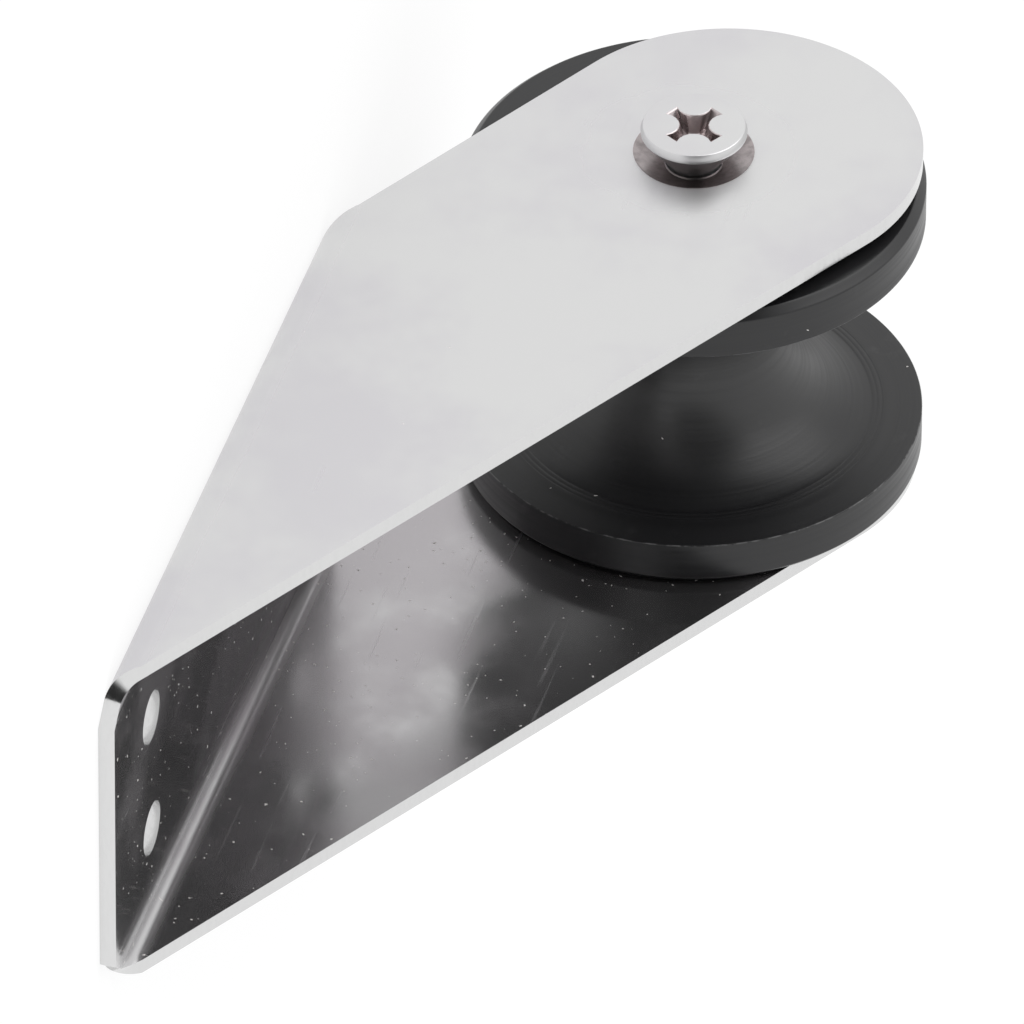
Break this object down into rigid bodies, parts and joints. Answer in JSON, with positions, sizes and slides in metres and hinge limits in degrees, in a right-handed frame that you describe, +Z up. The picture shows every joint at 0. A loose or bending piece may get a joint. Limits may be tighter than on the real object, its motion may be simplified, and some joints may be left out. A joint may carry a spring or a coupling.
{
  "type": "bow roller",
  "caption": "Folded stainless bow roller bracket with a black nylon spool roller turning on a bolted axle.",
  "frame": {"origin": "centre of the underside of the base web, which lies on the deck", "axes": "+X forward along the base towards the roller, +Y towards the screw head's side, +Z up from the deck"},
  "size_m": [0.1827, 0.076, 0.0834],
  "materials": {
    "polished_steel": "mirror polished stainless steel",
    "plain_steel": "plain stainless steel",
    "black_nylon": "turned satin black nylon",
    "white_nylon": "satin white nylon"
  },
  "bodies": {
    "bracket": {"bracket": "polished_steel", "axle_sleeve": "plain_steel", "axle_screw": "polished_steel", "nut_washer": "plain_steel", "lock_nut": "plain_steel", "nut_insert": "white_nylon"},
    "roller": {"roller": "black_nylon"}
  },
  "joints": [
    {"name": "roller_spin", "type": "hinge", "parent": "bracket", "child": "roller", "pos_m": [0.09112, 0, 0.04855], "axis": [0, 1, 0], "continuous": true}
  ]
}
